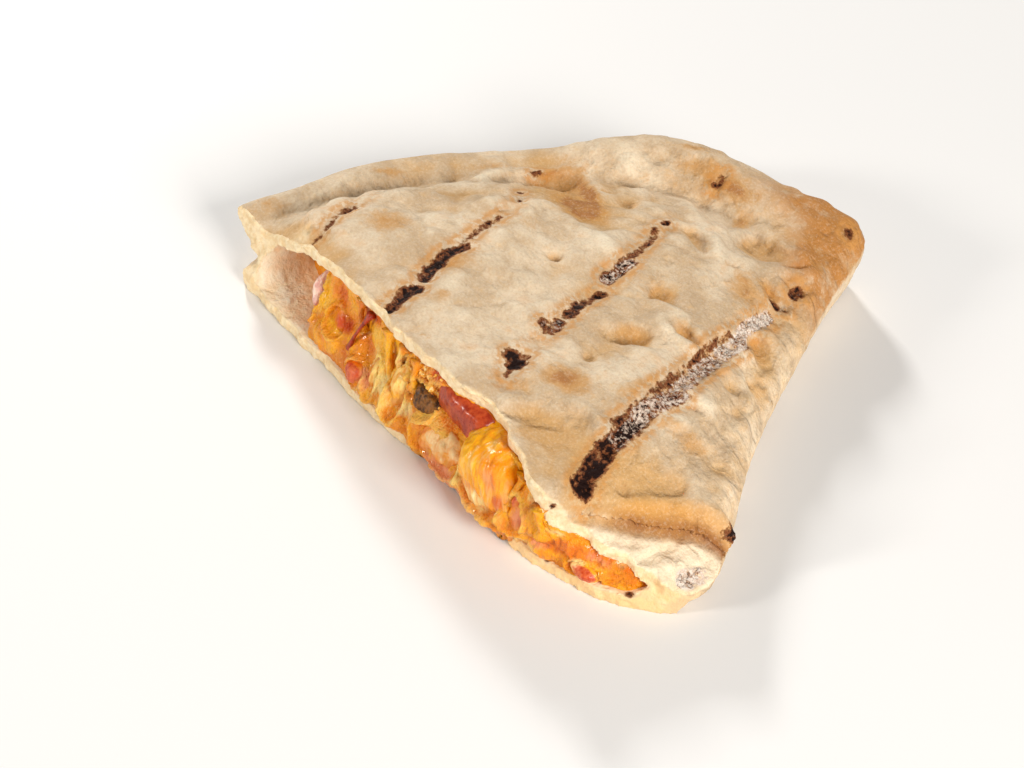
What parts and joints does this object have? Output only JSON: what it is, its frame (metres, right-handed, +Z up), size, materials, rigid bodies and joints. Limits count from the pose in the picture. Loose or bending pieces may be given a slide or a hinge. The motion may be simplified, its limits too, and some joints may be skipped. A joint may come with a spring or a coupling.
{
  "type": "chicken quesadilla half",
  "caption": "Half of a folded grilled flatbread pocket, cut across, with melted cheese, chicken, tomato, pepper and ham showing at the cut.",
  "frame": {"origin": "middle of the bounding box in plan, on the flat underside that the bread lies on", "axes": "+X along the cut, from the pinched corner to the folded corner; +Y from the cut to the back of the pocket; +Z up"},
  "size_m": [0.14, 0.1217, 0.0272],
  "materials": {
    "bread": "grilled flatbread, dull, pale tan with toasted freckles and charred grill lines",
    "cheese": "melted cheese, glossy, yellow-orange",
    "chicken_chunk": "chicken coated in melted cheese",
    "chicken_flesh": "moist cooked chicken",
    "chicken_strip": "moist cooked chicken, pale",
    "chicken_sliver": "moist cooked chicken, pale",
    "tomato_wedge": "wet cooked tomato, red",
    "tomato_bit": "wet cooked tomato under cheese",
    "pepper_leaf": "cooked green pepper, dark and wet",
    "pepper_strand": "red pepper skin",
    "onion_strip": "pinkish onion",
    "ham_bit": "moist pink ham",
    "ham_piece": "moist pink ham",
    "ham_scrap": "moist pink ham"
  },
  "bodies": {
    "root": {"bread": "bread", "cheese": "cheese", "chicken_chunk": "chicken_chunk", "chicken_flesh": "chicken_flesh", "chicken_strip": "chicken_strip", "chicken_sliver": "chicken_sliver", "tomato_wedge": "tomato_wedge", "tomato_bit": "tomato_bit", "pepper_leaf": "pepper_leaf", "pepper_strand": "pepper_strand", "onion_strip": "onion_strip", "ham_bit": "ham_bit", "ham_piece": "ham_piece", "ham_scrap": "ham_scrap"}
  },
  "joints": []
}
